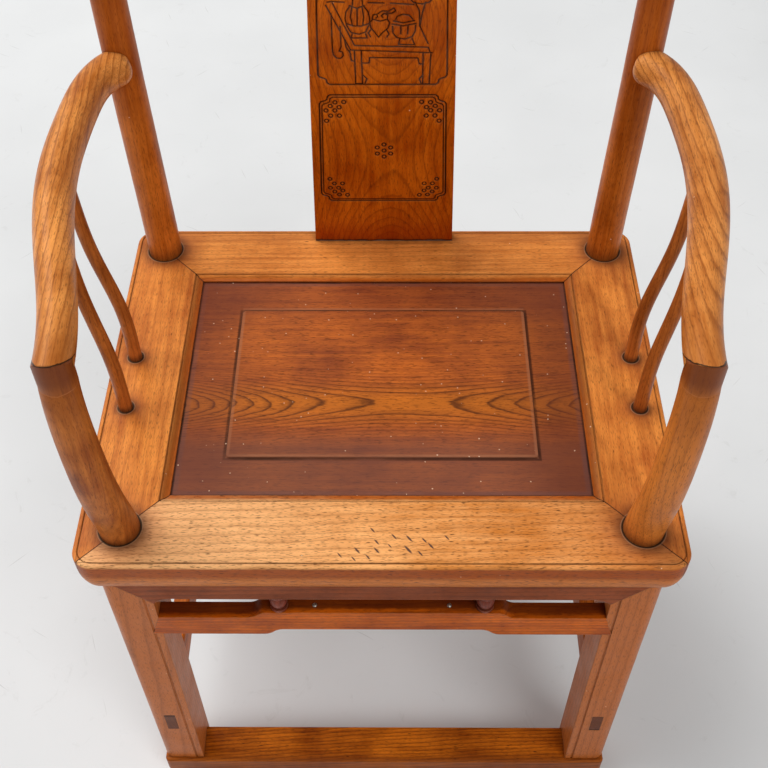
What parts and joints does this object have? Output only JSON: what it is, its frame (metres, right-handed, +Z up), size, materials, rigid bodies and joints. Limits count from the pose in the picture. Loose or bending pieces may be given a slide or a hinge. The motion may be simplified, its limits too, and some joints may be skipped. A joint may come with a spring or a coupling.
{
  "type": "official's hat armchair",
  "caption": "Hardwood armchair with bowed arms on posts and spindles, a carved back splat, a framed panel seat, humpback stretchers and a footrest.",
  "frame": {"origin": "on the floor, in the middle of the chair's width and depth", "axes": "+X to the right as seen from in front of the chair, +Y from the front to the back, +Z up"},
  "size_m": [0.6034, 0.468, 1.112],
  "materials": {
    "seat_frame_wood": "waxed, worn honey brown",
    "round_work_wood": "polished amber brown",
    "under_frame_wood": "waxed, dull red brown",
    "panel_wood": "worn, dark red brown",
    "splat_wood": "polished deep orange brown",
    "end_grain_wood": "dark end grain",
    "nail_iron": "worn hand-made nail heads"
  },
  "bodies": {
    "root": {"apron_front": "under_frame_wood", "apron_left": "under_frame_wood", "apron_rear": "under_frame_wood", "apron_right": "under_frame_wood", "arm_left": "round_work_wood", "arm_right": "round_work_wood", "arm_spindle_front_left": "round_work_wood", "arm_spindle_front_right": "round_work_wood", "arm_spindle_rear_left": "round_work_wood", "arm_spindle_rear_right": "round_work_wood", "back_splat": "splat_wood", "crest_pegs": "end_grain_wood", "crest_rail": "round_work_wood", "floor_stretcher_left": "under_frame_wood", "floor_stretcher_rear": "under_frame_wood", "floor_stretcher_right": "under_frame_wood", "footrest": "seat_frame_wood", "front_leg_post_left": "round_work_wood", "front_leg_post_right": "round_work_wood", "front_strut_left": "under_frame_wood", "front_strut_right": "under_frame_wood", "humpback_stretcher_front": "under_frame_wood", "humpback_stretcher_left": "under_frame_wood", "humpback_stretcher_right": "under_frame_wood", "rear_leg_post_left": "round_work_wood", "rear_leg_post_right": "round_work_wood", "seat_batten_left": "panel_wood", "seat_batten_right": "panel_wood", "seat_panel": "panel_wood", "seat_rail_front": "seat_frame_wood", "seat_rail_left": "seat_frame_wood", "seat_rail_rear": "seat_frame_wood", "seat_rail_right": "seat_frame_wood", "side_strut_front_left": "under_frame_wood", "side_strut_front_right": "under_frame_wood", "side_strut_rear_left": "under_frame_wood", "side_strut_rear_right": "under_frame_wood", "stretcher_nails": "nail_iron", "tenon_wedges": "end_grain_wood"}
  },
  "joints": []
}
